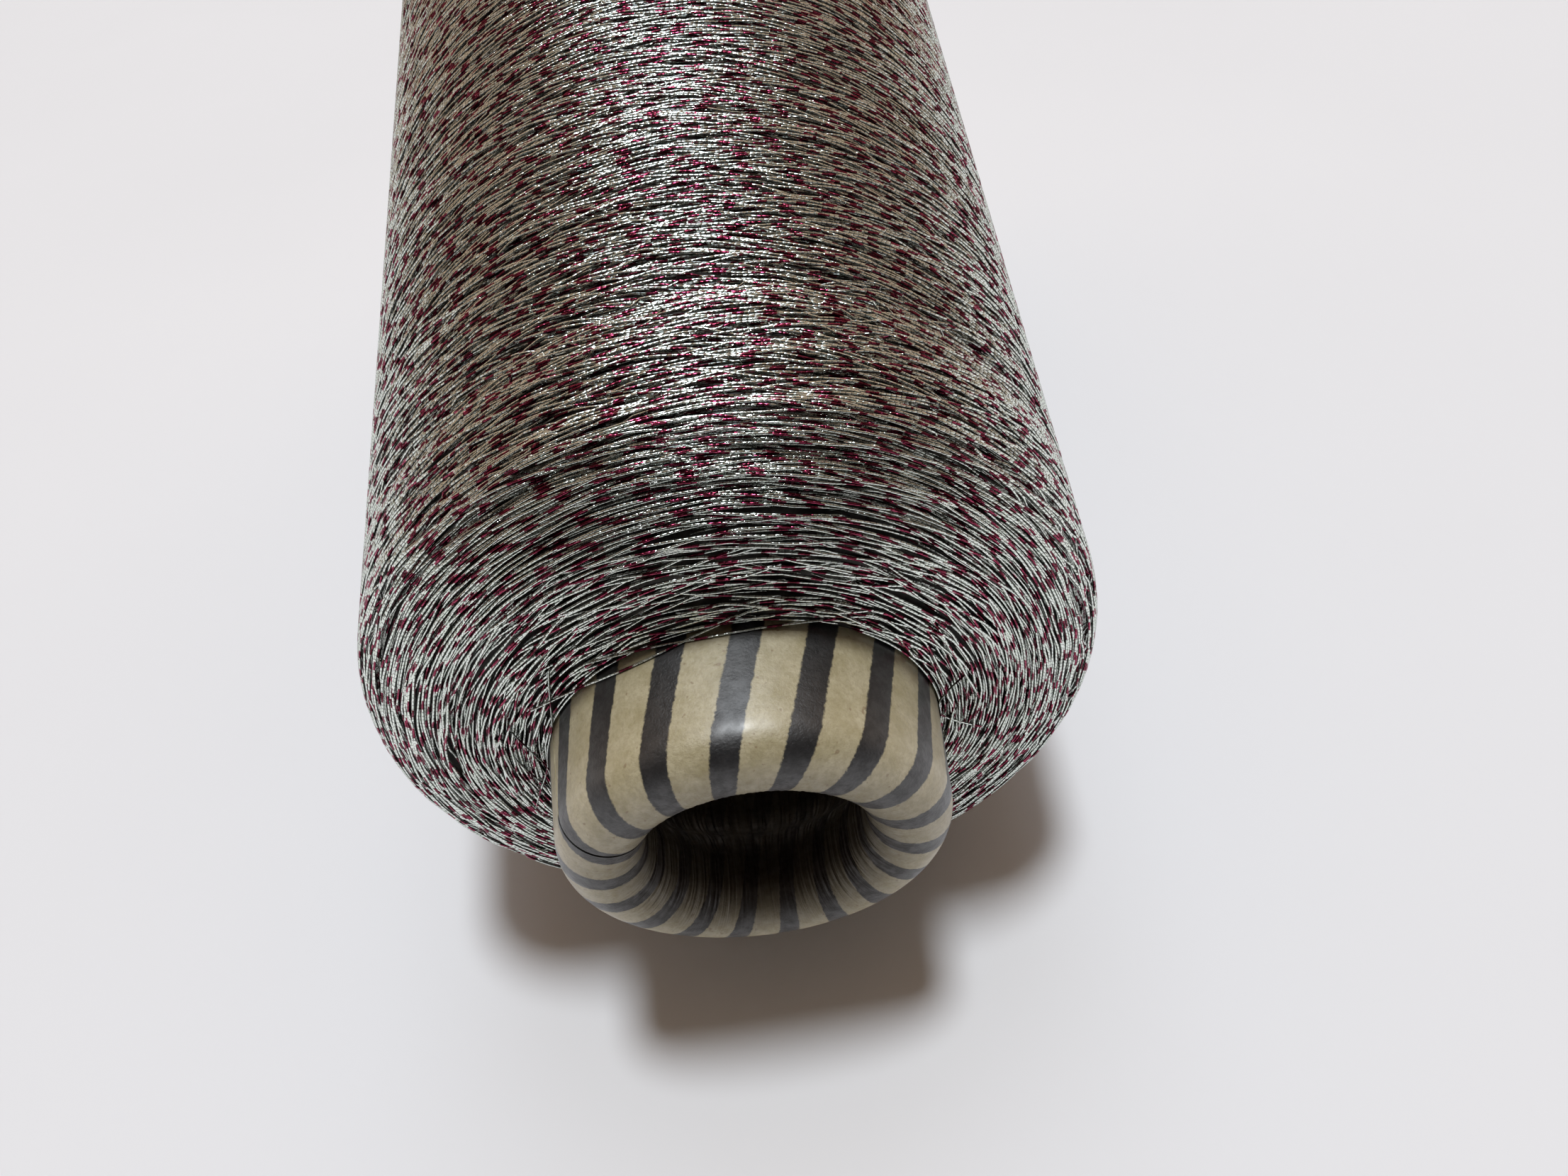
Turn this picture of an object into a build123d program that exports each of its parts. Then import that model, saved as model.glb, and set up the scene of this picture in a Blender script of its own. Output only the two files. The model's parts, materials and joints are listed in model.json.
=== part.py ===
# A cone of metallic yarn: thread wound on a rolled-nose paper cone, lying on its side.
# Millimetres. +Z is up, the nose points along -Y, and the lower side of the wound yarn
# rests on the ground, Z = 0. The origin is under the middle of the whole object.
from build123d import *
import os
from math import acos, cos, pi, radians, sin, tan

os.makedirs("parts", exist_ok=True)

# The paper cone
taper_degrees = 4 + 20 / 60        # half angle of the cone
cone_length = 170.0                # nose tip to base rim, along the axis
nose_radius = 17.0                 # outside, where the nose rolls in
throat_radius = 9.5                # the hole through the rolled nose
neck_length = 1.5                  # straight part of the throat, behind the rolled nose
flare_radius = 5.0                 # where the rolled-in paper opens out behind the neck
return_radius = 5.0                # where it turns again to lie along the wall
flare_gap = 0.25                   # between the rolled-in paper and the wall it lies along
turned_in_length = 6.0             # of the cover, lying along the wall
ply_thicknesses = {                # from the outside in
    "striped_cover_ply": 0.30,
    "paper_ply_outer": 0.45,
    "paper_ply_middle": 0.45,
    "paper_ply_inner": 0.45,
    "bore_liner_ply": 0.35,
}
seam_gap = 0.25                    # where the two edges of the cover meet
seam_degrees = 63.5                # place of the seam, from the top round towards -X

# The wound yarn
yarn_depth = 15.6                  # square to the paper
bare_nose = 11.5                   # nose tip to the yarn's front edge on the paper
bare_base = 12.0                   # base rim to the yarn's back edge on the paper
front_face_degrees = 7.0           # lean of each end face, from square to the paper
back_face_degrees = 10.0
front_shoulder_radius = 9.5
back_shoulder_radius = 9.0
top_course_depth = 3.0             # the layers wound last
resting_flat = 0.3                 # how far the soft yarn is pressed in where it lies

# The transfer tail: the first turns wound, left bare beside the base rim
thread_diameter = 0.30
tail_turns = 9
tail_pitch = 0.34
tail_groove = 0.10                 # depth of the valley between two turns
tail_gap = 3.0                     # from the package's back edge to the first turn

# Sections are drawn as (distance from the axis, distance from the nose tip).
taper = radians(taper_degrees)
bend_radius = (nose_radius - throat_radius) / 2
bend_centre_radius = (nose_radius + throat_radius) / 2


def nose_point(depth, angle):
    """A point in the rolled nose: this deep under its face, at this angle round the bend."""
    radius = bend_radius - depth
    return (bend_centre_radius + radius * cos(angle), bend_radius + radius * sin(angle))


def neck_point(depth, length):
    """A point in the neck: this deep under its face, this far behind the rolled nose."""
    return (throat_radius + depth, bend_radius + length)


def leg_point(depth, station):
    """A point in the tapered wall: this deep under its face, this far from the nose tip."""
    across, along = nose_point(depth, -taper)
    return (across + (station - along) * tan(taper), station)


# Behind the neck the paper opens out round one centre and turns back round another, and
# then lies along the inside of the wall.
wall_thickness = sum(ply_thicknesses.values())
flare_centre = (throat_radius + flare_radius, bend_radius + neck_length)
wall_reach = bend_centre_radius * cos(taper) + bend_radius * (1 - sin(taper))
flare_reach = flare_centre[0] * cos(taper) - flare_centre[1] * sin(taper)
return_depth = return_radius + 2 * wall_thickness + flare_gap
swing = flare_radius + return_radius
flare_angle = taper + acos((return_depth - wall_reach + flare_reach) / swing)
return_centre = (
    flare_centre[0] - swing * cos(flare_angle),
    flare_centre[1] + swing * sin(flare_angle),
)


def flare_point(depth, angle):
    """A point where the paper opens out: this deep under its face, at this angle round."""
    radius = flare_radius - depth
    return (flare_centre[0] - radius * cos(angle), flare_centre[1] + radius * sin(angle))


def return_point(depth, angle, length=0):
    """A point where it turns back, or this far along the wall beyond there."""
    radius = return_radius + depth
    across = return_centre[0] + radius * cos(angle) + length * sin(taper)
    return (across, return_centre[1] - radius * sin(angle) + length * cos(taper))


# The axis climbs away from the nose by the taper, so that the yarn's lower edge is level.
base_radius = leg_point(0, cone_length)[0]
yarn_reach = wall_reach + yarn_depth
nose_height = yarn_reach - resting_flat
front_reach = bend_radius * (1 - cos(taper)) + bend_centre_radius * sin(taper)
back_reach = cone_length * cos(taper) + base_radius * sin(taper)
nose_tip = Vector(0, (front_reach - back_reach) / 2, nose_height)
axis_direction = Vector(0, cos(taper), sin(taper))
axis_upright = Vector(0, -sin(taper), cos(taper))
cone_axis = Axis(nose_tip, axis_direction)
section = Plane(nose_tip, x_dir=(1, 0, 0), z_dir=axis_upright)

# Windings are drawn as (height off the paper, length along the paper).
wall_start = section.from_local_coords(nose_point(0, -taper))
wall_square = Vector(cos(taper), -sin(taper) * cos(taper), -sin(taper) * sin(taper))
paper = Plane(wall_start, x_dir=wall_square, z_dir=axis_upright)


def paper_length(station):
    """Length along the paper of a place this far from the nose tip."""
    return (station - nose_point(0, -taper)[1]) / cos(taper)


def winding_outline(sunk):
    """Outline of the wound yarn, or of what lies this deep under its surface."""
    front_lean = radians(front_face_degrees)
    back_lean = radians(back_face_degrees)
    height = yarn_depth - sunk
    front = paper_length(bare_nose) + sunk / cos(front_lean)
    back = paper_length(cone_length - bare_base) - sunk / cos(back_lean)
    FilletPolyline(
        (0, front),
        (height, front + height * tan(front_lean)),
        (height, back - height * tan(back_lean)),
        (0, back),
        radius=[front_shoulder_radius - sunk, back_shoulder_radius - sunk],
    )
    Line((0, back), (0, front))


# The plies of the cone, one inside the other and rolled in together at the nose. They were
# trimmed flush before rolling, so a deeper ply has a shorter way round and reaches further in.
depth = 0
for ply_name, thickness in ply_thicknesses.items():
    depths = (depth, depth + thickness)
    turned_in = turned_in_length + pi * (depth + thickness / 2)
    with BuildPart() as ply:
        with BuildSketch(section):
            with BuildLine():
                for face in depths:
                    Line(leg_point(face, cone_length), nose_point(face, -taper))
                    ThreePointArc(
                        nose_point(face, -taper), nose_point(face, -pi / 2), neck_point(face, 0)
                    )
                    Line(neck_point(face, 0), neck_point(face, neck_length))
                    ThreePointArc(
                        neck_point(face, neck_length),
                        flare_point(face, flare_angle / 2),
                        flare_point(face, flare_angle),
                    )
                    ThreePointArc(
                        flare_point(face, flare_angle),
                        return_point(face, (flare_angle + taper) / 2),
                        return_point(face, taper),
                    )
                    Line(return_point(face, taper), return_point(face, taper, turned_in))
                Line(leg_point(depths[0], cone_length), leg_point(depths[1], cone_length))
                Line(
                    return_point(depths[0], taper, turned_in),
                    return_point(depths[1], taper, turned_in),
                )
            make_face()
        revolve(axis=cone_axis)
        if ply_name == "striped_cover_ply":
            seam = radians(seam_degrees)
            seam_outward = axis_upright * cos(seam) - Vector(1, 0, 0) * sin(seam)
            seam_plane = Plane(nose_tip, x_dir=seam_outward, z_dir=seam_outward.cross(axis_direction))
            with BuildSketch(seam_plane):
                Rectangle(base_radius + seam_gap, cone_length, align=(Align.MIN, Align.MIN))
            extrude(amount=seam_gap / 2, both=True, mode=Mode.SUBTRACT)
    ply.part.label = ply_name
    export_step(ply.part, f"parts/{ply_name}.step")
    depth += thickness

with BuildPart() as core:
    with BuildSketch(paper):
        with BuildLine():
            winding_outline(top_course_depth)
        make_face()
    revolve(axis=cone_axis)
core.part.label = "wound_yarn_core"
export_step(core.part, "parts/wound_yarn_core.step")

with BuildPart() as top_course:
    with BuildSketch(paper):
        with BuildLine():
            winding_outline(0)
        make_face()
        with BuildLine():
            winding_outline(top_course_depth)
        make_face(mode=Mode.SUBTRACT)
    revolve(axis=cone_axis)
    split(bisect_by=Plane.XY, keep=Keep.TOP)
top_course.part.label = "wound_yarn_top_course"
export_step(top_course.part, "parts/wound_yarn_top_course.step")

with BuildPart() as tail:
    first_turn = paper_length(cone_length - bare_base) + tail_gap
    last_turn = first_turn + tail_turns * tail_pitch
    valley = thread_diameter - tail_groove
    with BuildSketch(paper):
        with BuildLine():
            Line((0, last_turn), (0, first_turn))
            Line((0, first_turn), (valley, first_turn))
            for turn in range(tail_turns):
                start = first_turn + turn * tail_pitch
                ThreePointArc(
                    (valley, start),
                    (thread_diameter, start + tail_pitch / 2),
                    (valley, start + tail_pitch),
                )
            Line((valley, last_turn), (0, last_turn))
        make_face()
    revolve(axis=cone_axis)
tail.part.label = "transfer_tail_wraps"
export_step(tail.part, "parts/transfer_tail_wraps.step")
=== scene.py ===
import bpy
import json
import math
import numpy as np
from mathutils import Matrix


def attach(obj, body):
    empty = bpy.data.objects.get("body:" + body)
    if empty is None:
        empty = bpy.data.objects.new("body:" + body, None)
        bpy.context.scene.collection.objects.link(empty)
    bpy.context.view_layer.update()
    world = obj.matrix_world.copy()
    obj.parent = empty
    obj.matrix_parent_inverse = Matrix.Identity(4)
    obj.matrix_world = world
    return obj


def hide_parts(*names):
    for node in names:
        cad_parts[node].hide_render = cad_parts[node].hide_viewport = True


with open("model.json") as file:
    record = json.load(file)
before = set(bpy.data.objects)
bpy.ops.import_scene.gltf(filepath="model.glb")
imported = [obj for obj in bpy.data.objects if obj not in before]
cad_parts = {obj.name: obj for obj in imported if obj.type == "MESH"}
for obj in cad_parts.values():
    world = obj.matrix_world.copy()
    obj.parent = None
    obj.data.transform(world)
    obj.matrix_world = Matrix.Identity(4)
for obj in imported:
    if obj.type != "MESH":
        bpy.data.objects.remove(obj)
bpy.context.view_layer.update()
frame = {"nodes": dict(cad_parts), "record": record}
scene = bpy.context.scene
rng = np.random.default_rng(41)
mm = 0.001

# The cone's own axes, from the frame: stations run from the nose tip towards the base.
mounts = {mount["name"]: mount for mount in frame["record"]["mounts"]}
axis = np.array(mounts["taper_seat"]["axis"])
across = np.array([1.0, 0.0, 0.0])
upright = np.cross(across, axis)
taper = math.asin(axis[2])
baseCentre = np.array(mounts["taper_seat"]["pos_m"]) / mm


def coneView(node):
    # a node's vertices as distance from the axis and station back from the base rim
    mesh = frame["nodes"][node].data
    flat = np.empty(len(mesh.vertices) * 3)
    mesh.vertices.foreach_get("co", flat)
    rel = flat.reshape(-1, 3) / mm - baseCentre
    return np.hypot(rel @ across, rel @ upright), rel @ axis


coverAway, coverStation = coneView("striped_cover_ply")
coneLength = -coverStation.min()
noseTip = baseCentre - axis * coneLength
baseRadius = coverAway.max()
throatRadius = mounts["nose_throat"]["dims"]["r_mm"]
bendRadius = ((baseRadius - throatRadius) * math.cos(taper) - coneLength * math.sin(taper)) / (
    1 + math.cos(taper) - math.sin(taper))
wallStart = np.array([throatRadius + bendRadius * (1 + math.cos(taper)),
                      bendRadius * (1 - math.sin(taper))])


def onCone(height, length, angle):
    # height off the paper and length along it, both in mm, to a place in the scene
    away = wallStart[0] + height * math.cos(taper) + length * math.sin(taper)
    station = wallStart[1] - height * math.sin(taper) + length * math.cos(taper)
    return roundAxis(away, station, angle)


def roundAxis(away, station, angle):
    away, station, angle = np.broadcast_arrays(away, station, angle)
    place = noseTip + station[..., None] * axis
    place = place + (away * np.sin(angle))[..., None] * across
    return (place + (away * np.cos(angle))[..., None] * upright) * mm


# The camera and the ceiling lamp
eye = dict(offset=(5.96, -47.76, 80.75), pitch=45.38, yaw=-0.34, roll=-9.23, lens=25.0, sensor=36.0)
pitch, yaw, roll = (math.radians(eye[key]) for key in ("pitch", "yaw", "roll"))
forward = np.array([math.sin(yaw) * math.cos(pitch), math.cos(yaw) * math.cos(pitch), -math.sin(pitch)])
level = np.cross(forward, [0, 0, 1])
level /= np.linalg.norm(level)
rise = np.cross(level, forward)
right = level * math.cos(roll) + rise * math.sin(roll)
up = rise * math.cos(roll) - level * math.sin(roll)
cameraData = bpy.data.cameras.new("camera")
cameraData.lens, cameraData.sensor_width = eye["lens"], eye["sensor"]
cameraData.clip_start, cameraData.clip_end = 0.005, 20
camera = bpy.data.objects.new("camera", cameraData)
scene.collection.objects.link(camera)
turn = Matrix([list(right), list(up), list(-forward)]).transposed()
camera.matrix_world = Matrix.Translation((noseTip + np.array(eye["offset"])) * mm) @ turn.to_4x4()
scene.camera = camera
scene.view_settings.view_transform = "Standard"

lamp = dict(strength=2.16, width=10.7, behind=2.2, toSide=1.1, colour=(0.91, 0.96, 1.0))
lampData = bpy.data.lights.new("ceilingLamp", "SUN")
lampData.energy, lampData.angle = lamp["strength"], math.radians(lamp["width"])
lampData.color = lamp["colour"]
lampObject = bpy.data.objects.new("ceilingLamp", lampData)
lampObject.location = (0, 0, 1)
lampObject.rotation_euler = (-math.radians(lamp["behind"]), math.radians(lamp["toSide"]), 0)
scene.collection.objects.link(lampObject)


class Wire:
    # an output socket, so that shader maths reads as plain expressions
    def __init__(self, tree, socket=None):
        self.tree, self.socket = tree, socket

    def node(self, kind, settings=None, inputs=None, output=0):
        made = self.tree.nodes.new("ShaderNode" + kind)
        for key, value in (settings or {}).items():
            setattr(made, key, value)
        for key, value in (inputs or {}).items():
            if isinstance(value, Wire):
                self.tree.links.new(value.socket, made.inputs[key])
            else:
                made.inputs[key].default_value = value
        return Wire(self.tree, made.outputs[output])

    def maths(self, operation, *values):
        return self.node("Math", {"operation": operation}, dict(enumerate(values)))

    def __add__(self, other):
        return self.maths("ADD", self, other)

    def __sub__(self, other):
        return self.maths("SUBTRACT", self, other)

    def __mul__(self, other):
        return self.maths("MULTIPLY", self, other)

    def __truediv__(self, other):
        return self.maths("DIVIDE", self, other)

    def __radd__(self, other):
        return self.maths("ADD", other, self)

    def __rsub__(self, other):
        return self.maths("SUBTRACT", other, self)

    def __rmul__(self, other):
        return self.maths("MULTIPLY", other, self)

    def __abs__(self):
        return self.maths("ABSOLUTE", self)

    def floor(self):
        return self.maths("FLOOR", self)

    def fract(self):
        return self.maths("FRACT", self)

    def within(self, low, high):
        # 0 below low, 1 above high, smooth between
        inputs = {"Value": self, "From Min": low, "From Max": high}
        return self.node("MapRange", {"interpolation_type": "SMOOTHSTEP"}, inputs)

    def random(self):
        return self.node("TexWhiteNoise", {"noise_dimensions": "1D"}, {"W": self})

    def noise(self, scale, detail=2.0, roughness=0.5):
        return self.node("TexNoise", None, {"Vector": self, "Scale": scale, "Detail": detail,
                                            "Roughness": roughness})

    def mix(self, first, second):
        # this wire is the factor between two colours
        return self.node("Mix", {"data_type": "RGBA"}, {0: self, 6: first, 7: second}, 2)

    def vector(self, operation, *values):
        return self.node("VectorMath", {"operation": operation}, dict(enumerate(values)))

    def scaled(self, amount):
        return self.node("VectorMath", {"operation": "SCALE"}, {0: self, "Scale": amount})


def newMaterial(name, **constants):
    material = bpy.data.materials.new(name)
    material.use_nodes = True
    tree = material.node_tree
    shader = tree.nodes["Principled BSDF"]
    for key, value in constants.items():
        shader.inputs[key.replace("_", " ")].default_value = value
    return material, Wire(tree), shader


def feed(shader, **wires):
    for key, wire in wires.items():
        wire.tree.links.new(wire.socket, shader.inputs[key.replace("_", " ")])


def rgb(*parts):
    return (*parts, 1.0)


# The room round it and the floor
window = dict(height=63.0, inner=6.0, outer=20.0, aside=0.02, colour=(1.8, 2.0, 2.25))
world = bpy.data.worlds.new("room")
scene.world = world
world.use_nodes = True
room = Wire(world.node_tree)
skyward = room.node("TexCoord", None, None, "Generated")
depth = room.node("SeparateXYZ", None, {0: skyward}, 1)
rising = room.node("SeparateXYZ", None, {0: skyward}, 2)
beyond = depth.within(-0.55, 0.25)          # the side the viewer stands on is dark
band = 1 - abs(rising - 0.02).within(0.05, 0.30)   # a paler strip at the height of the walls
lit = band.mix(rgb(0.46, 0.335, 0.245), rgb(0.66, 0.60, 0.55))
lit = beyond.mix(rgb(0.012, 0.010, 0.010), lit)
# a pale window high up behind the package
windowHeight, paneEdge, paneHeart = (math.radians(window[key]) for key in ("height", "outer", "inner"))
windowSpot = (window["aside"], math.cos(windowHeight), math.sin(windowHeight))
facing = room.node("VectorMath", {"operation": "DOT_PRODUCT"}, {0: skyward, 1: windowSpot}, 1)
pane = facing.within(math.cos(paneEdge), math.cos(paneHeart))
lit = pane.mix(lit, rgb(*window["colour"]))
seen = room.node("LightPath", None, None, "Is Camera Ray")
background = world.node_tree.nodes["Background"]
world.node_tree.links.new(seen.mix(lit, rgb(0.72, 0.73, 0.76)).socket, background.inputs[0])

floorHalf = 3.0
floorMesh = bpy.data.meshes.new("floor")
corners = [(x * floorHalf, y * floorHalf, 0) for x, y in ((-1, -1), (1, -1), (1, 1), (-1, 1))]
floorMesh.from_pydata(corners, [], [(0, 1, 2, 3)])
floor = bpy.data.objects.new("floor", floorMesh)
scene.collection.objects.link(floor)
floorMaterial, wire, shader = newMaterial("paleFloor", Roughness=0.75)
place = wire.node("TexCoord", None, None, "Object")
feed(shader, Base_Color=place.noise(9.0, 3.0).mix(rgb(0.80, 0.80, 0.82), rgb(0.84, 0.84, 0.86)))
floorMesh.materials.append(floorMaterial)
print("camera, lamp, room and floor are set")


def placePiece(name, mesh, material, node):
    mesh.materials.append(material)
    piece = bpy.data.objects.new(name, mesh)
    scene.collection.objects.link(piece)
    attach(piece, "root")
    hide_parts(node)


def addPiece(name, verts, quads, material, node, maps=None):
    # quads are rows of four vertex numbers, and maps hold one pair of numbers for each corner
    mesh = bpy.data.meshes.new(name)
    mesh.vertices.add(len(verts))
    mesh.vertices.foreach_set("co", verts.astype(np.float32).ravel())
    mesh.loops.add(quads.size)
    mesh.loops.foreach_set("vertex_index", quads.astype(np.int32).ravel())
    mesh.polygons.add(len(quads))
    mesh.polygons.foreach_set("loop_start", np.arange(0, quads.size, 4, dtype=np.int32))
    mesh.polygons.foreach_set("use_smooth", np.ones(len(quads), bool))
    for mapName, pairs in (maps or {}).items():
        layer = mesh.uv_layers.new(name=mapName)
        layer.data.foreach_set("uv", pairs.astype(np.float32).ravel())
    mesh.update(calc_edges=True)
    mesh.validate()
    placePiece(name, mesh, material, node)


# The printed paper cover. Lengths and depths are in mm, stripes in degrees round the cone.
cover = dict(thickness=0.30, stripes=18, stripeShare=0.41, stripeTurn=0.2, stripeSlant=0.9,
             columns=600, pleatDepth=0.06, seamDegrees=-63.5, seamGap=0.25,
             flareRadius=5.0, returnRadius=5.0, flareGap=0.25, turnedIn=6.0, mapLength=100.0)


def coverMaterial():
    material, wire, shader = newMaterial("stripedPaper", Coat_Roughness=0.38, Coat_IOR=1.65,
                                         Specular_IOR_Level=0.5)
    paper = wire.node("UVMap", {"uv_map": "paper"})
    angle = wire.node("SeparateXYZ", None, {0: paper}, 0) * 360
    length = wire.node("SeparateXYZ", None, {0: paper}, 1) * cover["mapLength"]   # 0 where the bend starts
    place = wire.node("TexCoord", None, None, "Object").scaled(1 / mm)
    grain = place.noise(0.45, 5.0, 0.65)
    fuzz = place.noise(3.0, 4.0, 0.7) - 0.5
    turn = (angle - cover["stripeTurn"] - length * cover["stripeSlant"]) * (cover["stripes"] / 360)
    fromStripe = abs((turn + 0.5).fract() - 0.5)
    half = cover["stripeShare"] / 2
    edge = fromStripe + fuzz * 0.075 + (place.noise(0.9, 2.0) - 0.5) * 0.045
    ink = 1 - edge.within(half - 0.018, half + 0.018)
    worn = place.noise(1.3, 5.0, 0.7).within(0.54, 0.80)
    specks = place.noise(1.9, 1.0, 0.3).within(0.70, 0.78)
    tan = grain.within(0.25, 0.75).mix(rgb(0.39, 0.33, 0.18), rgb(0.57, 0.50, 0.33))
    felt = place.noise(2.4, 4.0, 0.7).within(0.38, 0.66)
    tan = (felt * 0.40).mix(tan, rgb(0.30, 0.235, 0.125))
    tan = (specks * 0.55).mix(tan, rgb(0.22, 0.13, 0.06))
    black = (worn * 0.5).mix(rgb(0.009, 0.008, 0.008), rgb(0.06, 0.056, 0.056))
    # fine pleats run along the paper where it is tucked into the throat; their ridges are painted paler
    # (painted highlight) and their hollows darker (painted shade), on the tan and on the black ink
    tucked = (0 - length).within(4.0, 9.0)
    fold = wire.node("CombineXYZ", None, {0: angle * 0.9, 1: length * 0.10}).noise(1.6, 3.0, 0.6)
    tanPleatHighlightShade = (tucked * fold.within(0.48, 0.72) * 0.6).mix(tan, rgb(0.60, 0.55, 0.43))
    # painted shade: the tan is darkened in the pleat hollows
    tanPleatHighlightShade = (tucked * (1 - fold.within(0.28, 0.46)) * 0.55).mix(tanPleatHighlightShade, rgb(0.20, 0.16, 0.10))
    # painted highlight: the black ink is lightened along the pleat ridges
    inkPleatHighlight = (tucked * fold.within(0.55, 0.75) * 0.25).mix(black, rgb(0.16, 0.15, 0.13))
    # painted shade: the paper is painted darker on its way into the throat
    throatShade = (0 - length).within(2.5, 12.0)
    feed(shader, Base_Color=(throatShade * 0.88).mix(ink.mix(tanPleatHighlightShade, inkPleatHighlight), rgb(0.035, 0.024, 0.015)))
    mottle = place.noise(1.1, 4.0, 0.6)
    feed(shader, Roughness=0.36 + mottle * 0.22 + tucked * 0.2)
    rolled = (0 - length).within(2.0, 6.5)      # its varnish is thinner where it rolls in
    feed(shader, Coat_Weight=0.55 + mottle.within(0.35, 0.65) * 0.45 - rolled * 0.5)
    fibres = place.noise(4.0, 4.0, 0.6) + mottle * 0.6 + tucked * fold * 1.5
    feed(shader, Normal=wire.node("Bump", None, {"Strength": 0.5, "Distance": 0.00015, "Height": fibres}))
    return material


# Behind the neck the rolled-in paper opens out round one centre and turns back round another,
# then lies along the wall. Lengths of paper are counted from where the wall meets the bend.
neckLength = mounts["nose_throat"]["dims"]["length_mm"]
bendArc = bendRadius * (math.pi - taper)
bendCentre = np.array([throatRadius + bendRadius, bendRadius])
alongWall = np.array([math.sin(taper), math.cos(taper)])
squareWall = np.array([math.cos(taper), -math.sin(taper)])
linerAway, linerBack = coneView("bore_liner_ply")
wallDepth = (baseRadius - linerAway[linerBack > -0.5].min()) * math.cos(taper)
flareCentre = np.array([throatRadius + cover["flareRadius"], bendRadius + neckLength])
fromWall = cover["returnRadius"] + 2 * wallDepth + cover["flareGap"] + (flareCentre - wallStart) @ squareWall
bothRadii = cover["flareRadius"] + cover["returnRadius"]
swing = taper + math.acos(fromWall / bothRadii)
returnCentre = flareCentre + bothRadii * np.array([-math.cos(swing), math.sin(swing)])
flareArc, returnArc = cover["flareRadius"] * swing, cover["returnRadius"] * (swing - taper)
bendEnd, neckEnd, flareEnd, returnEnd = np.cumsum([bendArc, neckLength, flareArc, returnArc])


def coverLoop(depth, spots):
    # section points at this depth under the cover's face, for these lengths of paper
    points = []
    for spot in spots:
        if spot < 0:
            point = bendCentre + squareWall * (bendRadius - depth) - alongWall * spot
        elif spot < bendEnd:
            turned = -taper - spot / bendRadius
            point = bendCentre + (bendRadius - depth) * np.array([math.cos(turned), math.sin(turned)])
        elif spot < neckEnd:
            point = np.array([throatRadius + depth, bendRadius + spot - bendEnd])
        elif spot < flareEnd:
            turned = (spot - neckEnd) / cover["flareRadius"]
            ray = np.array([-math.cos(turned), math.sin(turned)])
            point = flareCentre + (cover["flareRadius"] - depth) * ray
        else:
            turned = max(taper, swing - (spot - flareEnd) / cover["returnRadius"])
            ray = np.array([math.cos(turned), -math.sin(turned)])
            point = returnCentre + (cover["returnRadius"] + depth) * ray
            point = point + alongWall * max(0.0, spot - returnEnd)
        points.append(point)
    return np.array(points)


def makeCover():
    wallLength = (coneLength - wallStart[1]) / math.cos(taper)
    paperEnd, lastTurn = returnEnd + cover["turnedIn"], returnEnd - 0.01
    # section points lie close together at both bare ends and far apart under the yarn
    outer = np.concatenate([np.linspace(-wallLength, -wallLength + 14, 15), np.linspace(-120, -18, 12),
                            np.linspace(-14, lastTurn, 88), [paperEnd]])
    inner = np.concatenate([[paperEnd], np.linspace(lastTurn, 0, 34), np.linspace(-12, -wallLength, 8)])
    loop = np.vstack([coverLoop(0, outer), coverLoop(cover["thickness"], inner)])
    spots = np.concatenate([outer, inner])
    facing = np.concatenate([np.ones(len(outer)), np.zeros(len(inner))])
    seam = math.radians(cover["seamDegrees"])
    rows = cover["columns"] + 1
    share = np.linspace(0, 1, rows)
    half = cover["seamGap"] / 2 / loop[:, 0]
    angles = seam + half[None, :] + share[:, None] * (2 * math.pi - 2 * half[None, :])
    # the nose was pleated a little as it was rolled in, most of all inside the bend
    pleat = np.zeros_like(share)
    for count in (67, 101, 149, 197):
        pleat += np.sin(count * share * 2 * math.pi + rng.uniform(0, 6.3)) / 2
    tucked = np.clip((spots - 0.35 * bendArc) / (0.5 * bendArc), 0, 1) * facing
    dent = pleat[:, None] * tucked[None, :] * cover["pleatDepth"]
    # and no rolled nose is quite round
    wave = 0.03 * np.sin(3 * angles + 1.0) + 0.02 * np.sin(5 * angles + spots[None, :] / 9)
    wave *= np.clip((spots + 14) / 10, 0, 1)[None, :]
    away = loop[None, :, 0] + dent + wave
    station = loop[None, :, 1] + np.zeros_like(away)
    verts = roundAxis(away, station, angles).reshape(-1, 3)
    number = np.arange(rows * len(spots)).reshape(rows, len(spots))
    here, there = number[:-1], number[1:]
    nextHere, nextThere = np.roll(here, -1, 1), np.roll(there, -1, 1)
    quads = np.stack([here, nextHere, nextThere, there], -1).reshape(-1, 4)
    # the two raw edges at the seam
    outerCount, innerCount = len(outer), len(inner)
    caps = []
    for column, flip in ((0, False), (rows - 1, True)):
        ring = number[column]
        first, second = list(ring[:outerCount]), list(ring[outerCount:][::-1])
        a = b = 0
        while a < outerCount - 1 or b < innerCount - 1:
            stepOuter = b == innerCount - 1 or (a < outerCount - 1 and spots[a + 1] <= inner[::-1][b + 1])
            tri = ([first[a], first[a + 1], second[b]] if stepOuter else [first[a], second[b + 1], second[b]])
            caps.append(tri if flip else tri[::-1])
            a, b = (a + 1, b) if stepOuter else (a, b + 1)
    mapped = np.broadcast_to(-spots / cover["mapLength"], angles.shape)
    pairs = np.stack([angles / (2 * math.pi), mapped], -1).reshape(-1, 2)
    mesh = bpy.data.meshes.new("stripedCover")
    faces = [tuple(face) for face in quads.tolist()] + [tuple(face) for face in caps]
    mesh.from_pydata(verts.tolist(), [], faces)
    layer = mesh.uv_layers.new(name="paper")
    corner = np.empty(len(mesh.loops), np.int32)
    mesh.loops.foreach_get("vertex_index", corner)
    layer.data.foreach_set("uv", pairs[corner].astype(np.float32).ravel())
    mesh.polygons.foreach_set("use_smooth", np.ones(len(mesh.polygons), bool))
    mesh.set_sharp_from_angle(angle=math.radians(40))
    mesh.update()
    placePiece("stripedCover", mesh, coverMaterial(), "striped_cover_ply")


makeCover()


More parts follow.
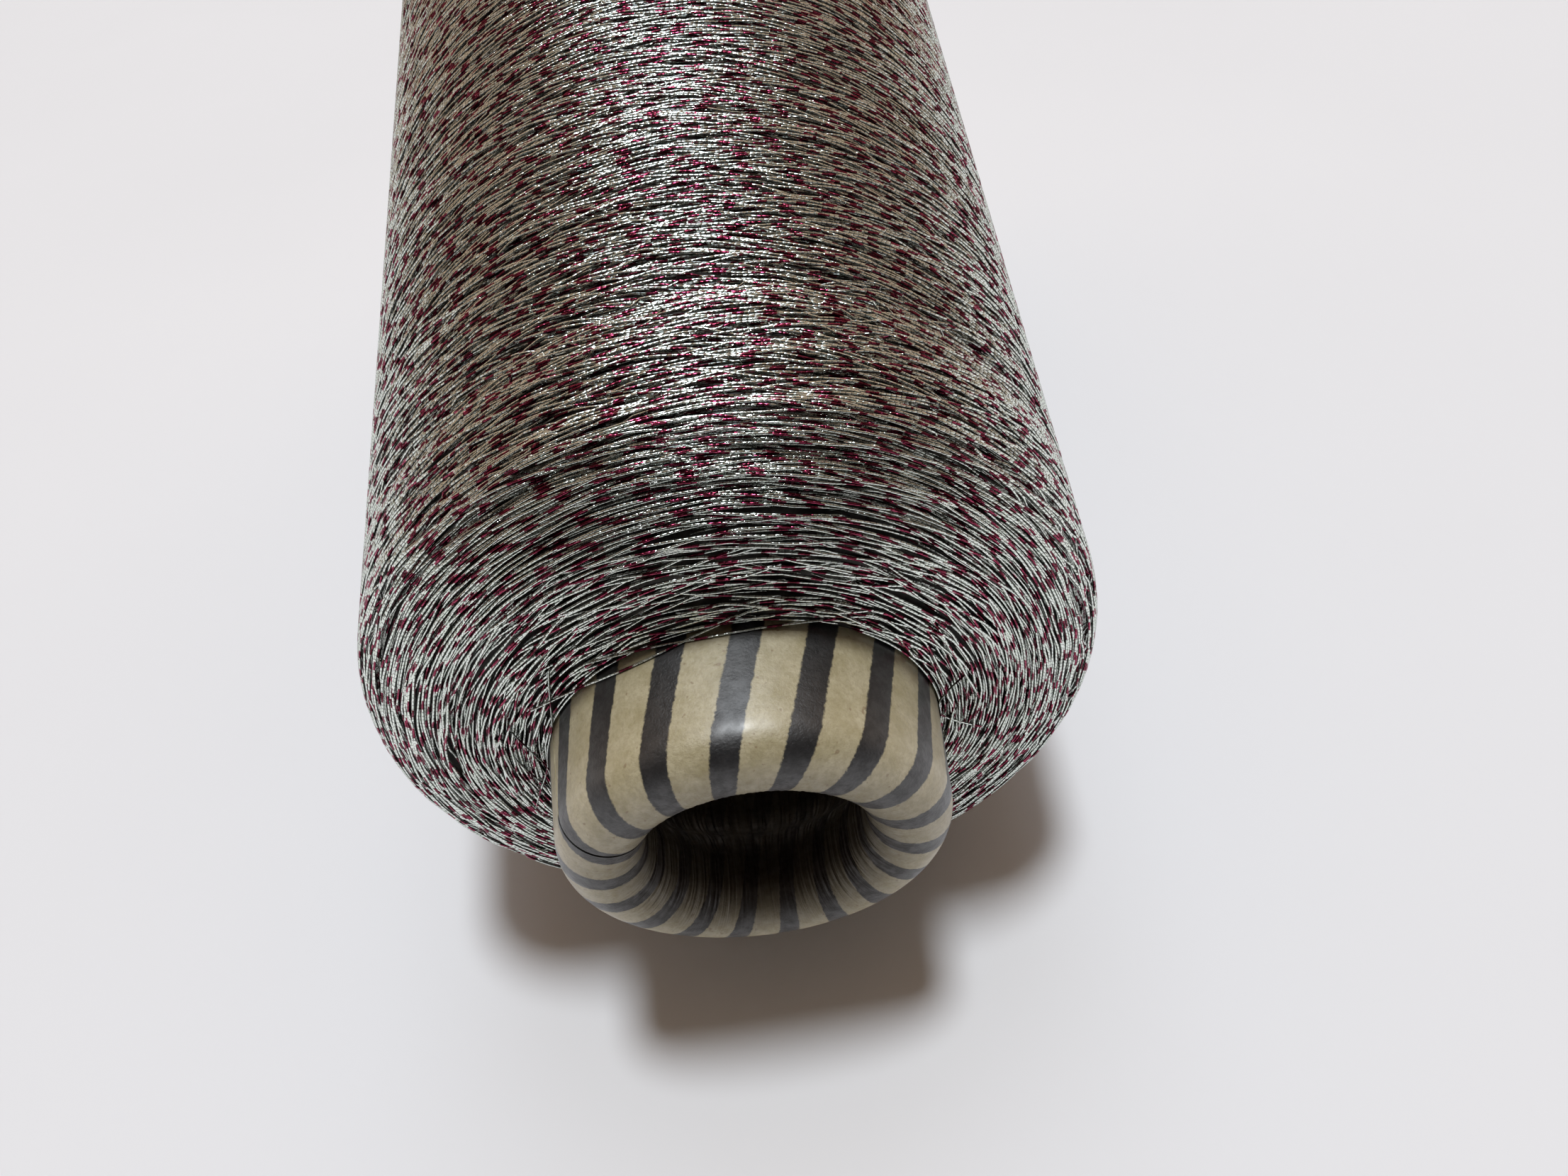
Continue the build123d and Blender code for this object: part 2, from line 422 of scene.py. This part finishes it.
def kraftMaterial(name, light, dark):
    material, wire, shader = newMaterial(name, Specular_IOR_Level=0.35)
    place = wire.node("TexCoord", None, None, "Object").scaled(1 / mm)
    grain = place.noise(0.6, 6.0, 0.65)
    fibres = place.noise(4.0, 3.0, 0.6)
    colour = grain.within(0.25, 0.75).mix(rgb(*dark), rgb(*light))
    feed(shader, Base_Color=(fibres.within(0.6, 0.75) * 0.3).mix(colour, rgb(0.17, 0.12, 0.07)))
    feed(shader, Roughness=0.72 + fibres * 0.15)
    feed(shader, Normal=wire.node("Bump", None, {"Strength": 0.35, "Distance": 0.00008, "Height": fibres}))
    return material


kraft = kraftMaterial("kraftPly", (0.42, 0.34, 0.23), (0.33, 0.26, 0.17))
for nodeName in ("paper_ply_outer", "paper_ply_middle", "paper_ply_inner"):
    for holder in frame["nodes"][nodeName].material_slots:
        holder.material = kraft
for holder in frame["nodes"]["bore_liner_ply"].material_slots:
    holder.material = kraftMaterial("linerPly", (0.46, 0.38, 0.27), (0.38, 0.31, 0.21))
print("paper cone is made")

# The wound yarn. Lengths are in mm, leans in degrees and reaches in columns of the height grid.
yarn = dict(radius=0.135, squash=0.85, lean=7.5, strokes=380, turnRound=28.0, frontTurns=(-7.0, 2.0),
            backTurns=(-2.0, 7.0), bridge=16.0, bridgeReach=5.0, bridgeDrop=0.9, sink=0.05, endArcs=44,
            slump=3.0, pieceFaces=96000, segment=1.25, sample=0.12, slide=3, slideReach=22, slipCost=0.02,
            settle=6, flankHeight=0.72, showMargin=0.06, showReach=9, shortestRun=16)
film = dict(wrapLength=0.46, dashLength=4.7, dashSpread=0.66, dashShare=0.18, dashVary=0.12)
package = dict(frontLean=7.0, backLean=10.0, frontShoulder=9.5, backShoulder=9.0)
columns, rowStep = 1600, 0.1      # of the height grid laid over the outline
columnAngle = 2 * math.pi / columns


def packageOutline():
    # the section of the wound yarn from the paper at the nose to the paper at the base
    away, back = coneView("wound_yarn_top_course")
    station = back + coneLength
    height = (away - wallStart[0]) * math.cos(taper) - (station - wallStart[1]) * math.sin(taper)
    length = (away - wallStart[0]) * math.sin(taper) + (station - wallStart[1]) * math.cos(taper)
    top, front, rear = height.max(), length.min(), length.max()
    points, normals = [], []

    def stretch(start, end, normal):
        count = max(2, int(np.linalg.norm(np.subtract(end, start)) / rowStep))
        for share in np.linspace(0, 1, count, endpoint=False):
            points.append(np.array(start) * (1 - share) + np.array(end) * share)
            normals.append(normal)

    def shoulder(centre, radius, first, last):
        count = max(2, int(abs(last - first) * radius / rowStep))
        for turn in np.linspace(first, last, count, endpoint=False):
            normals.append((math.cos(turn), math.sin(turn)))
            points.append(np.array(centre) + radius * np.array(normals[-1]))

    lean, radius = math.radians(package["frontLean"]), package["frontShoulder"]
    frontCentre = np.array([top - radius, front + (top - radius) * math.tan(lean) + radius / math.cos(lean)])
    face = (math.sin(lean), -math.cos(lean))
    stretch((0, front), frontCentre + radius * np.array(face), face)
    shoulder(frontCentre, radius, lean - math.pi / 2, 0)
    lean, radius = math.radians(package["backLean"]), package["backShoulder"]
    backCentre = np.array([top - radius, rear - (top - radius) * math.tan(lean) - radius / math.cos(lean)])
    stretch((top, frontCentre[1]), (top, backCentre[1]), (1, 0))
    shoulder(backCentre, radius, 0, math.pi / 2 - lean)
    face = (math.sin(lean), math.cos(lean))
    stretch(backCentre + radius * np.array(face), (0, rear), face)
    points, normals = np.array(points), np.array(normals)
    travel = np.concatenate([[0], np.cumsum(np.linalg.norm(np.diff(points, axis=0), axis=1))])
    return travel, points, normals


travel, outline, outward = packageOutline()
travelEnd = travel[-1]
topRows = np.where(outward[:, 0] > 0.99999)[0]
frontEdge, backEdge = travel[topRows[0]], travel[topRows[-1]]
outlineAway = wallStart[0] + outline[:, 0] * math.cos(taper) + outline[:, 1] * math.sin(taper)
print("outline", round(travelEnd, 1), round(frontEdge, 1), round(backEdge, 1))
rowCount = int(travelEnd / rowStep) + 1
heights = np.zeros((rowCount, columns), np.float32)
threads = []          # each: column numbers, travel, height of its underside, yarn length
threadThick = 2 * yarn["radius"] * yarn["squash"]


def highest(row, column):
    # the highest of three neighbouring rows of the grid
    return np.maximum(np.maximum(heights[row, column], heights[row - 1, column]), heights[row + 1, column])


def lowest(row, column):
    return np.minimum(np.minimum(heights[row, column], heights[row - 1, column]), heights[row + 1, column])


def wobble(length, size, shortest, longest):
    out = np.zeros_like(length)
    for _ in range(4):
        out += size / 2 * np.sin(length * 2 * math.pi / rng.uniform(shortest, longest) + rng.uniform(0, 6.3))
    return out


def byColumn(angle, place, length):
    # one sample for each grid column that the path crosses
    first, last = math.ceil(angle[0] / columnAngle), math.floor(angle[-1] / columnAngle)
    number = np.arange(first, last)
    turned = number * columnAngle
    return number, np.interp(turned, angle, place), np.interp(turned, angle, length)


def smoothed(values, reach):
    kernel = np.ones(2 * reach + 1) / (2 * reach + 1)
    return np.convolve(np.pad(values, reach, mode="edge"), kernel, "valid")


def layDown(number, place, length, sunk=0.0):
    # a taut thread slips into the nearest valley, then bridges the high spots under it
    column = number % columns
    row = np.clip(place / rowStep, 2, rowCount - 3)
    best = None
    for shift in range(-yarn["slide"], yarn["slide"] + 1):
        there = np.clip(np.rint(row + shift).astype(int), 1, rowCount - 2)
        cost = smoothed(highest(there, column), yarn["slideReach"]) + yarn["slipCost"] * abs(shift)
        if best is None:
            best, chosen = cost, np.full(len(cost), float(shift))
        else:
            better = cost < best
            best = np.where(better, cost, best)
            chosen = np.where(better, shift, chosen)
    row = np.clip(row + smoothed(chosen, yarn["slideReach"]), 2, rowCount - 3)
    there = np.rint(row).astype(int)
    under = highest(there, column)
    spacing = abs(length[-1] - length[0]) / max(1, len(length) - 1)
    rest = under.copy()
    for k in range(1, int(yarn["bridgeReach"] / spacing)):
        drop = (k * spacing) ** 2 / (2 * yarn["bridge"])
        if drop > yarn["bridgeDrop"] or k >= len(rest):
            break
        rest[k:] = np.maximum(rest[k:], under[:-k] - drop)
        rest[:-k] = np.maximum(rest[:-k], under[k:] - drop)
    rest = smoothed(rest, yarn["settle"]) - sunk
    for aside, share in ((0, 1.0), (-1, yarn["flankHeight"]), (1, yarn["flankHeight"])):
        laid = rest + share * threadThick
        heights[there + aside, column] = np.maximum(heights[there + aside, column], laid)
    threads.append((number, row * rowStep, rest, length))


# yarn["endArcs"] loops start on each mm of an end face where it is 163 mm round
endLoop = dict(around=163.0, scatter=0.12, half=(20, 38), bend=(20, 45), wobble=(0.12, 15, 50),
               fromEnd=0.25, dive=0.5)
stroke = dict(leanVary=0.5, turnVary=(0.7, 1.2), wobble=(0.16, 12, 60), fade=6.0)
longYarn = 9000       # a run starts anywhere in this length, so that no two have the same flecks


def endArcs(low, high, towardsEnd):
    # the turning loops of buried layers, seen on an end face: they surface, run round and dive again
    middle = (low + high) / 2
    around = 2 * math.pi * float(np.interp(middle, travel, outlineAway))
    count = int(abs(high - low) * yarn["endArcs"] * around / endLoop["around"])
    places = np.linspace(low, high, count)
    if towardsEnd:
        places = places[::-1]
    for place in places:
        place = place + rng.normal(0, endLoop["scatter"])
        half = rng.uniform(*endLoop["half"])
        length = np.arange(-half, half, yarn["sample"])
        bend = rng.uniform(*endLoop["bend"])
        drift = np.where(abs(length) < bend, length ** 2 / (2 * bend), abs(length) - bend / 2)
        drift = drift * math.sin(math.radians(yarn["lean"]))
        outH = float(np.interp(place, travel, outward[:, 0]))
        outL = float(abs(np.interp(place, travel, outward[:, 1])))
        sideways = drift * outH * (-1 if towardsEnd else 1)
        spot = place + sideways + wobble(length, *endLoop["wobble"])
        spot = np.clip(spot, endLoop["fromEnd"], travelEnd - endLoop["fromEnd"])
        away = np.interp(spot, travel, outlineAway)
        angle = rng.uniform(0, 2 * math.pi) + np.cumsum(yarn["sample"] / away)
        number, spot, run = byColumn(angle, spot, length)
        sunk = np.interp(run, length, drift * outL + endLoop["dive"] * (abs(length) / half) ** 6)
        layDown(number, spot, run + rng.uniform(0, longYarn), sunk)


def windStrokes():
    angle, forwardStroke = 0.0, True
    length = 0.0
    place = frontEdge
    for _ in range(yarn["strokes"]):
        low, high = (yarn["backTurns"] if forwardStroke else yarn["frontTurns"])
        target = (backEdge if forwardStroke else frontEdge) + rng.uniform(low, high)
        lean = math.sin(math.radians(yarn["lean"] + rng.normal(0, stroke["leanVary"])))
        turnRound = yarn["turnRound"] * rng.uniform(*stroke["turnVary"])
        run = abs(target - place) / lean + turnRound
        along = np.arange(0, run, yarn["sample"])
        share = np.clip(np.minimum(along, run - along) / turnRound, 0, 1)
        climb = lean * share * (1 if forwardStroke else -1)
        spots = place + np.cumsum(climb) * yarn["sample"]
        away = np.interp(spots, travel, outlineAway)
        angles = angle + np.cumsum(np.sqrt(1 - climb ** 2) / away) * yarn["sample"]
        fade = np.clip(np.minimum(along, run - along) / stroke["fade"], 0, 1)
        number, spot, runAt = byColumn(angles, spots + wobble(along, *stroke["wobble"]) * fade, along)
        layDown(number, spot, runAt + length)
        angle, place, length = angles[-1], spots[-1], length + run
        forwardStroke = not forwardStroke


endArcs(0.3, frontEdge + 1.0, False)
endArcs(backEdge - 1.0, travelEnd - 0.3, True)
print("end loops laid", len(threads))
windStrokes()
middleRows = heights[rowCount // 4: -rowCount // 4]
print("strokes wound", len(threads), "mean top", round(float(middleRows.mean()), 2))


def blurred(grid, rowReach, columnReach):
    # box blur: wraps round the cone, and holds its edges along it
    padded = np.pad(grid, ((rowReach + 1, rowReach), (0, 0)), mode="edge").cumsum(0)
    out = (padded[2 * rowReach + 1:] - padded[:-2 * rowReach - 1]) / (2 * rowReach + 1)
    padded = np.pad(out, ((0, 0), (columnReach + 1, columnReach)), mode="wrap").cumsum(1)
    return (padded[:, 2 * columnReach + 1:] - padded[:, :-2 * columnReach - 1]) / (2 * columnReach + 1)


# tension packs the yarn down evenly, so only the relief finer than this survives
reliefReach = 9
packed = heights.astype(np.float64)
for _ in range(2):
    packed = blurred(packed, reliefReach, reliefReach)


def visibleRuns():
    # the stretches of each thread that no later thread covers, as lists of samples
    runs = []
    for number, place, rest, length in threads:
        column = number % columns
        there = np.clip(np.rint(place / rowStep).astype(int), 1, rowCount - 2)
        seen = rest + threadThick + yarn["showMargin"] > lowest(there, column)
        wide = np.convolve(seen, np.ones(2 * yarn["showReach"] + 1), "same") > 0
        edges = np.flatnonzero(np.diff(np.concatenate([[0], wide.view(np.int8), [0]])))
        for first, last in zip(edges[::2], edges[1::2]):
            if last - first > yarn["shortestRun"]:
                away = np.interp(place[first], travel, outlineAway)
                stride = max(2, round(yarn["segment"] / (away * columnAngle)))
                pick = np.unique(np.append(np.arange(first, last - 1, stride), last - 1))
                lift = rest[pick] - packed[there[pick], column[pick]]
                runs.append((number[pick] * columnAngle, place[pick], lift, length[pick]))
    return runs


def threadPlaces(angle, place, lift):
    # the centre line, and which way is out from the package, for samples on the outline:
    # the nose end's threads have slumped a little towards the floor
    place = place + yarn["slump"] * np.cos(angle) * np.sin(math.pi * np.clip(place / frontEdge, 0, 1))
    outH = np.interp(place, travel, outward[:, 0])
    outL = np.interp(place, travel, outward[:, 1])
    height = np.interp(place, travel, outline[:, 0]) + lift * outH
    length = np.interp(place, travel, outline[:, 1]) + lift * outL
    centre = onCone(height, length, angle)
    above = onCone(height + outH, length + outL, angle)
    out = (above - centre) / mm
    return centre, out


def threadMesh(name, runs, node, radius):
    # every run becomes a closed tube with four sides, a little wider than high, with narrow ends
    sides, endSize, widen = 4, 0.4, 1.06
    counts = np.array([len(run[0]) for run in runs])
    starts = np.concatenate([[0], np.cumsum(counts)])
    centre = np.vstack([run[0] for run in runs])
    out = np.vstack([run[1] for run in runs])
    length = np.concatenate([run[2] for run in runs])
    centre[:, 2] = np.maximum(centre[:, 2], radius * 0.8 * mm)
    before, after = np.arange(len(centre)) - 1, np.arange(len(centre)) + 1
    before[starts[:-1]] = starts[:-1]
    after[starts[1:] - 1] = starts[1:] - 1
    tangent = centre[after] - centre[before]
    tangent /= np.linalg.norm(tangent, axis=1)[:, None]
    side = np.cross(tangent, out)
    side /= np.linalg.norm(side, axis=1)[:, None]
    out = np.cross(side, tangent)
    size = np.full(len(centre), radius * mm)
    size[starts[:-1]] *= endSize
    size[starts[1:] - 1] *= endSize
    rings = []
    for k in range(sides):
        turn = 2 * math.pi * k / sides
        spoke = math.cos(turn) * out * yarn["squash"] + math.sin(turn) * side * widen
        rings.append(centre + size[:, None] * spoke)
    verts = np.stack(rings, 1).reshape(-1, 3)
    keep = np.ones(len(centre), bool)
    keep[starts[1:] - 1] = False
    base = np.flatnonzero(keep)[:, None] * sides
    k = np.arange(sides)[None, :]
    kNext = (k + 1) % sides
    quads = np.stack([base + k, base + sides + k, base + sides + kNext, base + kNext], -1).reshape(-1, 4)
    u0 = np.repeat(length[keep], sides)
    u1 = np.repeat(length[np.flatnonzero(keep) + 1], sides)
    v0 = np.tile(np.arange(sides) / sides, keep.sum())
    v1 = v0 + 1 / sides
    pairs = np.stack([np.stack(corner, -1) for corner in ((u0, v0), (u1, v0), (u1, v1), (u0, v1))], 1)
    capStart = starts[:-1][:, None] * sides + np.arange(sides)[None, :]
    capEnd = (starts[1:] - 1)[:, None] * sides + np.arange(sides)[::-1][None, :]
    caps = np.vstack([capStart, capEnd])
    capPairs = np.zeros((len(caps), 4, 2))
    allQuads = np.vstack([quads, caps])
    allPairs = np.vstack([pairs, capPairs])
    addPiece(name, verts, allQuads, metallic, node, {"thread": allPairs})


def yarnMaterial():
    material, wire, shader = newMaterial("metallicYarn", Metallic=1.0)
    thread = wire.node("UVMap", {"uv_map": "thread"})
    along = wire.node("SeparateXYZ", None, {0: thread}, 0)      # mm of yarn
    around = wire.node("SeparateXYZ", None, {0: thread}, 1)     # 0 to 1 round the thread, from its top
    wraps = (along + around * 0.30) / film["wrapLength"]        # turns of the film
    cell, within = wraps.floor(), wraps.fract()
    spell = (along + around * 0.40) / film["dashLength"]        # one crimson dash in each
    first = spell.floor().random() * film["dashSpread"]
    last = first + (spell.floor() + 0.5).random() * film["dashVary"] + film["dashShare"]
    crimson = spell.fract().maths("GREATER_THAN", spell.fract(), first)
    crimson = crimson * last.maths("GREATER_THAN", last, spell.fract())
    chance = cell.random()
    silver = chance.mix(rgb(0.84, 0.91, 0.83), rgb(0.95, 1.0, 0.95))
    colour = crimson.mix(silver, chance.mix(rgb(0.11, 0.014, 0.026), rgb(0.42, 0.06, 0.13)))
    # the joins between wraps are dark, and the flanks of each thread are painted dark as painted shade where
    # it meets its neighbours
    join = abs(within - 0.5).within(0.38, 0.49)
    flankShade = abs((around + 0.5).fract() - 0.5).within(0.13, 0.27)
    # dark wrap joins, times painted shade on the flanks
    joinsAndFlankShade = (1 - join * 0.8) * (1 - flankShade * 0.82)
    feed(shader, Base_Color=joinsAndFlankShade.mix(rgb(0.004, 0.004, 0.004), colour))
    feed(shader, Roughness=0.13 + (cell + 0.3).random() * 0.09)
    # every wrap bulges a little and sits a little askew
    lengthwise = wire.node("Tangent", {"direction_type": "UV_MAP", "uv_map": "thread"})
    bulge = (within - 0.5) * abs(within - 0.5) * 1.1
    askew = (cell + 0.7).random() - 0.5
    normal = wire.node("NewGeometry", None, None, 1)
    tipped = normal.vector("ADD", normal, lengthwise.scaled(bulge + askew * 0.32))
    feed(shader, Normal=tipped.vector("NORMALIZE", tipped))
    return material


metallic = yarnMaterial()
runs = []
for angle, place, lift, length in visibleRuns():
    centre, out = threadPlaces(angle, place, np.clip(lift + yarn["sink"], -0.7, 0.25))
    runs.append((centre, out, length))
print("visible runs", len(runs), "samples", sum(len(run[0]) for run in runs))
batch, faces, made = [], 0, 0
for run in runs + [None]:
    if run is None or faces + 4 * len(run[0]) > yarn["pieceFaces"]:
        threadMesh("yarnThreads_%02d" % made, batch, "wound_yarn_top_course", yarn["radius"])
        batch, faces, made = [], 0, made + 1
    if run is not None:
        batch.append(run)
        faces += 4 * len(run[0])
print("thread pieces", made)

packing = dict(inset=0.75, offPaper=0.05, offFloor=0.3, stride=12, columns=256)


def makePacking():
    # the imported yarn under the drawn threads, which closes every gap between them; it is coloured almost
    # black as painted shade in those gaps
    inset, stride = packing["inset"], packing["stride"]
    sunkH = np.maximum(outline[::stride, 0] - inset * outward[::stride, 0], packing["offPaper"])
    sunkL = outline[::stride, 1] - inset * outward[::stride, 1]
    sunkH = np.append(sunkH, packing["offPaper"])
    sunkL = np.append(sunkL, outline[-1, 1] - inset * outward[-1, 1])
    angles = np.linspace(0, 2 * math.pi, packing["columns"], endpoint=False)
    grid = onCone(sunkH[None, :], sunkL[None, :], angles[:, None])
    grid[..., 2] = np.maximum(grid[..., 2], packing["offFloor"] * mm)
    number = np.arange(grid[..., 0].size).reshape(grid.shape[:2])
    there = np.roll(number, -1, 0)
    quads = np.stack([number, np.roll(number, -1, 1), np.roll(there, -1, 1), there], -1).reshape(-1, 4)
    material, wire, shader = newMaterial("packedYarn", Metallic=0.6)
    place = wire.node("TexCoord", None, None, "Object").scaled(1 / mm)
    # painted shade: this dark colour stands for the shadow between the threads, not the yarn's own silver
    feed(shader, Base_Color=place.noise(2.5, 2.0).mix(rgb(0.03, 0.03, 0.028), rgb(0.11, 0.10, 0.09)))
    feed(shader, Roughness=0.5 + place.noise(1.0) * 0.2)
    addPiece("packedYarn", grid.reshape(-1, 3), quads, material, "wound_yarn_core")


makePacking()


def samplesAlong(angles, heightAt, lengthAt):
    centre = onCone(heightAt, lengthAt, angles)
    above = onCone(heightAt + 1.0, lengthAt, angles)
    steps = np.linalg.norm(np.diff(centre, axis=0), axis=1) / mm
    return centre, (above - centre) / mm, np.concatenate([[0], np.cumsum(steps)]) + rng.uniform(0, longYarn)


tail = dict(turns=9.0, perTurn=90, leadSamples=60, leadSweep=2.1, leadRise=1.2, startInside=0.4,
            startAngle=2.4)


def makeTail():
    # the transfer tail: the thread led off the package and wrapped round the bare base
    back = coneView("transfer_tail_wraps")[1]
    lengths = (back + coneLength - wallStart[1]) / math.cos(taper)
    first, last = lengths.min() + yarn["radius"], lengths.max() - yarn["radius"]
    turns, perTurn = tail["turns"], tail["perTurn"]
    onPaper = yarn["radius"] * yarn["squash"]
    wound = np.arange(0, turns * perTurn) / perTurn
    lead = np.linspace(0, 1, tail["leadSamples"])
    leadAngles = -tail["leadSweep"] + lead * tail["leadSweep"]
    start = outline[-1, 1] - tail["startInside"]
    leadLengths = start + (first - start) * (lead * lead * (3 - 2 * lead))
    leadHeights = onPaper + tail["leadRise"] * np.clip(1 - lead * 6, 0, 1) ** 2
    woundAngles = wound * 2 * math.pi
    # the turns wander a little
    drift = 0.05 * np.sin(woundAngles * 0.37) + 0.03 * np.sin(woundAngles * 1.7 + 1)
    woundLengths = first + (last - first) * wound / turns + drift * np.clip(wound * 3, 0, 1)
    angles = np.concatenate([leadAngles, woundAngles[1:]]) + tail["startAngle"]
    lifts = np.concatenate([leadHeights, np.full(len(wound) - 1, onPaper)])
    run = samplesAlong(angles, lifts, np.concatenate([leadLengths, woundLengths[1:]]))
    threadMesh("transferTail", [run], "transfer_tail_wraps", yarn["radius"])


makeTail()


stray = dict(count=12, samples=40, sweep=(0.22, 0.7), slip=(0.1, 0.9), climb=(1.5, 4.5), askew=(-0.3, 0.3),
             clear=0.12, thinner=0.9)


def makeStrays():
    # threads that slipped off the end of the package and lie across the paper at the nose
    runs = []
    front, lean = outline[0, 1], math.tan(math.radians(package["frontLean"]))
    for _ in range(stray["count"]):
        half = rng.uniform(*stray["sweep"])
        angles = rng.uniform(0, 2 * math.pi) + np.linspace(-half, half, stray["samples"])
        share = np.linspace(-1, 1, stray["samples"])
        slip = rng.uniform(*stray["slip"])
        climb = rng.uniform(*stray["climb"])
        off = slip - (slip + climb) * share ** 2 + rng.uniform(*stray["askew"]) * share
        lifts = smoothed(stray["clear"] + np.maximum(-off, 0), 1)
        lengths = front - np.maximum(off, 0) + np.maximum(-off, 0) * lean - stray["clear"]
        runs.append(samplesAlong(angles, lifts, lengths))
    threadMesh("strayThreads", runs, "wound_yarn_top_course", yarn["radius"] * stray["thinner"])


makeStrays()
print("tail and stray threads are laid")
